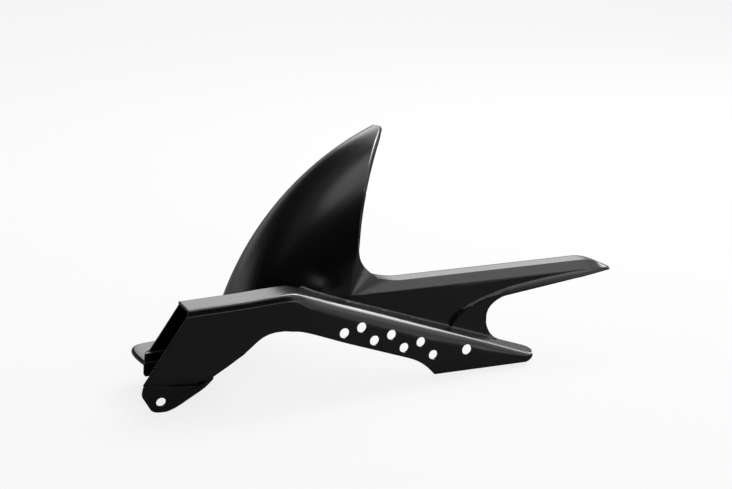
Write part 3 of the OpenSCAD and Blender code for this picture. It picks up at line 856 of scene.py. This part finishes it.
def tab_shell():
    """Tilted tab, as rings between its bolt hole and its outline."""
    outline = resampled(TAB_OUTLINE, 150, True)
    turn = np.arctan2(outline[:, 1], outline[:, 0])
    hole = np.stack([np.cos(turn), np.sin(turn)], axis=-1) * TAB_HOLE_D / 2
    x, z = np.concatenate([mix(hole, outline, k) for k in (0, 0.2, 0.4, 0.7, 1)]).T
    index = np.arange(len(x)).reshape(-1, len(outline))
    index = np.concatenate([index, index[:, :1]], axis=1)
    return thick_sheet(tilted(x, 0 * x, z), tilted(x, 0 * x + WALL, z), grid_quads(index), TAB_EDGE_R)


def tab_back_shell():
    """Set-back strip that joins the tab to the foot of the chute's side."""
    low, high = resampled(TAB_BACK_LOW, 60), resampled(TAB_BACK_HIGH, 60)
    x, z = np.moveaxis(np.array([mix(low, high, k) for k in np.linspace(0, 1, 5)]), -1, 0)
    set_back = TAB_BACK * smooth((x + 18) / 45)
    return walled(tilted(x, set_back, z), tilted(x, set_back + TAB_BACK_WALL, z), FINE_EDGE_R)


def hole_cutter(name, d, at):
    """A plug through the wall at a hole."""
    turn = np.arange(PLUG_SIDES) / PLUG_SIDES * 2 * math.pi
    x, z = at[0] + d / 2 * np.cos(turn), at[1] + d / 2 * np.sin(turn)
    points = np.concatenate([np.stack([x, np.full(PLUG_SIDES, y), z], axis=-1) for y in PLUG_REACH])
    n = PLUG_SIDES
    faces = [tuple(range(n)), tuple(range(2 * n - 1, n - 1, -1))]
    faces += [(i, n + i, n + (i + 1) % n, (i + 1) % n) for i in range(n)]
    return mesh_object(name, [(points, faces)])


def on_slope(along, down):
    """A place in side view, measured along the guard's slope and down from its top line."""
    c, s = cosd(GUARD_SLOPE), sind(GUARD_SLOPE)
    return BEND_X + along * c - down * s, BEND_Z - along * s - down * c


def holes():
    """Diameter and place of the tail's fixing hole and of the vents, the lower row first."""
    along = (TAIL_HOLE_X - BEND_X + TAIL_HOLE_DOWN * sind(GUARD_SLOPE)) / cosd(GUARD_SLOPE)
    yield TAIL_HOLE_D, on_slope(along, TAIL_HOLE_DOWN)
    for k in range(VENT_COUNT):
        yield VENT_D - VENT_LESS * k, on_slope(VENT_START + VENT_PITCH * k, VENT_LOW)
    for k in range(VENT_COUNT - 1):
        yield VENT_D - VENT_LESS * k, on_slope(VENT_START + VENT_PITCH * (k + 0.5) - 1, VENT_HIGH)


def cut(piece, tool):
    change = piece.modifiers.new("hole", "BOOLEAN")
    change.operation = "DIFFERENCE"
    change.solver = "EXACT"
    change.object = tool
    bpy.context.view_layer.objects.active = piece
    bpy.ops.object.modifier_apply(modifier=change.name)
    bpy.data.objects.remove(tool, do_unlink=True)


def soft_edges(piece, angle):
    mesh = piece.data
    mesh.polygons.foreach_set("use_smooth", [True] * len(mesh.polygons))
    mesh.set_sharp_from_angle(angle=math.radians(angle))
    mesh.update()


# Finish

def node_with(nodes, kind, **values):
    """A shader node with some of its inputs set."""
    node = nodes.new(kind)
    for name, value in values.items():
        node.inputs[name.replace("_", " ")].default_value = value
    return node


def plastic():
    """Satin black moulded plastic: fine grain, faint flow marks, a soft gloss."""
    mat = bpy.data.materials.new("shell_plastic")
    mat.use_nodes = True
    nodes, links = mat.node_tree.nodes, mat.node_tree.links
    shader = nodes["Principled BSDF"]
    shader.inputs["IOR"].default_value = 1.5
    shader.inputs["Specular IOR Level"].default_value = 0.5

    place = nodes.new("ShaderNodeTexCoord")
    cloud = node_with(nodes, "ShaderNodeTexNoise", Scale=9.0, Detail=3.0)
    tone = node_with(nodes, "ShaderNodeMapRange", To_Min=0.004, To_Max=0.0055)
    links.new(place.outputs["Object"], cloud.inputs["Vector"])
    links.new(cloud.outputs["Fac"], tone.inputs["Value"])
    colour = nodes.new("ShaderNodeCombineColor")
    for name in ("Red", "Green", "Blue"):
        links.new(tone.outputs["Result"], colour.inputs[name])
    links.new(colour.outputs["Color"], shader.inputs["Base Color"])

    gloss = node_with(nodes, "ShaderNodeMapRange", To_Min=0.2, To_Max=0.26)
    links.new(cloud.outputs["Fac"], gloss.inputs["Value"])
    links.new(gloss.outputs["Result"], shader.inputs["Roughness"])

    grain = node_with(nodes, "ShaderNodeTexNoise", Scale=1400.0, Detail=2.0)
    bump = node_with(nodes, "ShaderNodeBump", Strength=0.06, Distance=0.0003)
    links.new(place.outputs["Object"], grain.inputs["Vector"])
    links.new(grain.outputs["Fac"], bump.inputs["Height"])
    links.new(bump.outputs["Normal"], shader.inputs["Normal"])
    return mat


# Studio

def add_camera():
    camera = bpy.data.objects.new("camera", bpy.data.cameras.new("camera"))
    camera.location = (-0.437, -1.650, 0.624)
    camera.rotation_euler = (math.radians(75), 0, math.radians(-22))
    camera.data.lens = 85
    camera.data.sensor_width = 36
    camera.data.clip_end = 100
    bpy.context.scene.collection.objects.link(camera)
    bpy.context.scene.camera = camera


def softbox(name, at, size, glow):
    """A rectangular lamp of a stated brightness, with its face towards the part."""
    lamp = bpy.data.lights.new(name, "AREA")
    lamp.shape = "RECTANGLE"
    lamp.size, lamp.size_y = size
    lamp.energy = glow * math.pi * size[0] * size[1]
    holder = bpy.data.objects.new(name, lamp)
    look = (Vector(MIDDLE) - Vector(at)).to_track_quat("-Z", "Y").to_matrix().to_4x4()
    holder.matrix_world = Matrix.Translation(at) @ look
    holder.visible_camera = False
    bpy.context.scene.collection.objects.link(holder)


def towards(azimuth, elevation, far):
    """A place round the part: azimuth 0 in front, 90 on the right, 180 behind."""
    flat = far * cosd(elevation)
    return (MIDDLE[0] + flat * sind(azimuth), MIDDLE[1] - flat * cosd(azimuth),
            MIDDLE[2] + far * sind(elevation))


def math_node(tree, operation, *values):
    """A Math node whose inputs are sockets or numbers."""
    node = tree.nodes.new("ShaderNodeMath")
    node.operation = operation
    for socket, value in zip(node.inputs, values):
        if isinstance(value, (int, float)):
            socket.default_value = value
        else:
            tree.links.new(value, socket)
    return node.outputs[0]


def add_world():
    """Pale backdrop to the camera. Reflections see a dark room with a wide soft light and a low horizon."""
    world = bpy.data.worlds.new("studio")
    bpy.context.scene.world = world
    world.use_nodes = True
    tree = world.node_tree
    nodes, links = tree.nodes, tree.links

    def ramp(value, edge, from_value, to_value):
        node = node_with(nodes, "ShaderNodeMapRange", From_Min=edge[0], From_Max=edge[1],
                         To_Min=from_value, To_Max=to_value)
        node.interpolation_type = "SMOOTHSTEP"
        links.new(value, node.inputs["Value"])
        return node.outputs["Result"]

    place = nodes.new("ShaderNodeTexCoord")
    parts = nodes.new("ShaderNodeSeparateXYZ")
    links.new(place.outputs["Generated"], parts.inputs[0])

    def along(axis):
        node = nodes.new("ShaderNodeVectorMath")
        node.operation = "DOT_PRODUCT"
        node.inputs[1].default_value = axis
        links.new(place.outputs["Generated"], node.inputs[0])
        return node.outputs["Value"]

    top = ramp(along(TOP_AXIS), TOP_EDGE, 0.0, TOP_GLOW)
    high = ramp(parts.outputs["Z"], TOP_HIGH, 0.0, 1.0)
    right = ramp(parts.outputs["X"], TOP_RIGHT, 0.0, 1.0)
    top = math_node(tree, "MULTIPLY", top, math_node(tree, "MAXIMUM", high, right))
    halo = ramp(parts.outputs["Z"], HALO_EDGE, 0.0, HALO_GLOW)
    past_left = ramp(along(LEFT_AXIS), LEFT_EDGE, LEFT_DIM, 1.0)
    top = math_node(tree, "MULTIPLY", math_node(tree, "MAXIMUM", top, halo), past_left)
    low = ramp(parts.outputs["Z"], HORIZON_TOP, 1.0, 0.0)
    behind = ramp(parts.outputs["Y"], HORIZON_BEHIND, FRONT_GLOW, HORIZON_GLOW)
    room = math_node(tree, "MAXIMUM", top, math_node(tree, "MULTIPLY", low, behind))

    path = nodes.new("ShaderNodeLightPath")
    seen = math_node(tree, "MAXIMUM", path.outputs["Is Camera Ray"], path.outputs["Is Transmission Ray"])
    lit = math_node(tree, "MAXIMUM", path.outputs["Is Glossy Ray"], path.outputs["Is Diffuse Ray"])
    total = math_node(tree, "MAXIMUM", math_node(tree, "MULTIPLY", lit, room),
                      math_node(tree, "MULTIPLY", seen, PALE_WORLD))
    back = nodes["Background"]
    back.inputs["Color"].default_value = (1, 1, 1, 1)
    links.new(total, back.inputs["Strength"])


def add_floor(height):
    """Plain floor, pale to the camera and dark in reflections."""
    size = FLOOR_SIZE
    corners = [(-size, -size), (size, -size), (size, size), (-size, size)]
    mesh = bpy.data.meshes.new("floor")
    mesh.from_pydata([(x, y, height) for x, y in corners], [], [(0, 1, 2, 3)])
    floor = bpy.data.objects.new("floor", mesh)
    bpy.context.scene.collection.objects.link(floor)
    mat = bpy.data.materials.new("floor")
    mat.use_nodes = True
    tree = mat.node_tree
    nodes, links = tree.nodes, tree.links
    nodes.remove(nodes["Principled BSDF"])
    dull = nodes.new("ShaderNodeBsdfDiffuse")
    dull.inputs["Color"].default_value = (FLOOR_TONE, FLOOR_TONE, FLOOR_TONE, 1)
    glow = nodes.new("ShaderNodeEmission")
    path = nodes.new("ShaderNodeLightPath")
    seen = math_node(tree, "MAXIMUM", path.outputs["Is Camera Ray"], path.outputs["Is Transmission Ray"])
    pale = math_node(tree, "MULTIPLY", seen, PALE_FLOOR)
    total = math_node(tree, "MULTIPLY_ADD", path.outputs["Is Glossy Ray"], FLOOR_GLOW, pale)
    links.new(total, glow.inputs["Strength"])
    both = nodes.new("ShaderNodeAddShader")
    links.new(dull.outputs[0], both.inputs[0])
    links.new(glow.outputs[0], both.inputs[1])
    links.new(both.outputs[0], nodes["Material Output"].inputs["Surface"])
    mesh.materials.append(mat)


bpy.context.scene.view_settings.view_transform = "Standard"
add_camera()
add_world()
for name, (azimuth, elevation, far, wide, tall, glow) in LAMPS.items():
    softbox(name, towards(azimuth, elevation, far), (wide, tall), glow)
add_floor(cad_box[0][2] - FLOOR_GAP)

shell = mesh_object("hugger_shell", [body_shell()])
guard = mesh_object("guard", [guard_shell()])
tab = mesh_object("tab", [tab_shell(), tab_back_shell()])
for k, (d, at) in enumerate(holes()):
    cut(guard, hole_cutter("plug_%d" % k, d, at))
rest = mesh_object("rest", [inner_wall_shell(), bridge_shell()])
bpy.ops.object.select_all(action="DESELECT")
for piece in (guard, tab, rest, shell):
    piece.select_set(True)
bpy.context.view_layer.objects.active = shell
bpy.ops.object.join()
soft_edges(shell, SHARP_ANGLE)
shell.data.materials.append(plastic())
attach(shell, "root")
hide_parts("mudguard_shell")
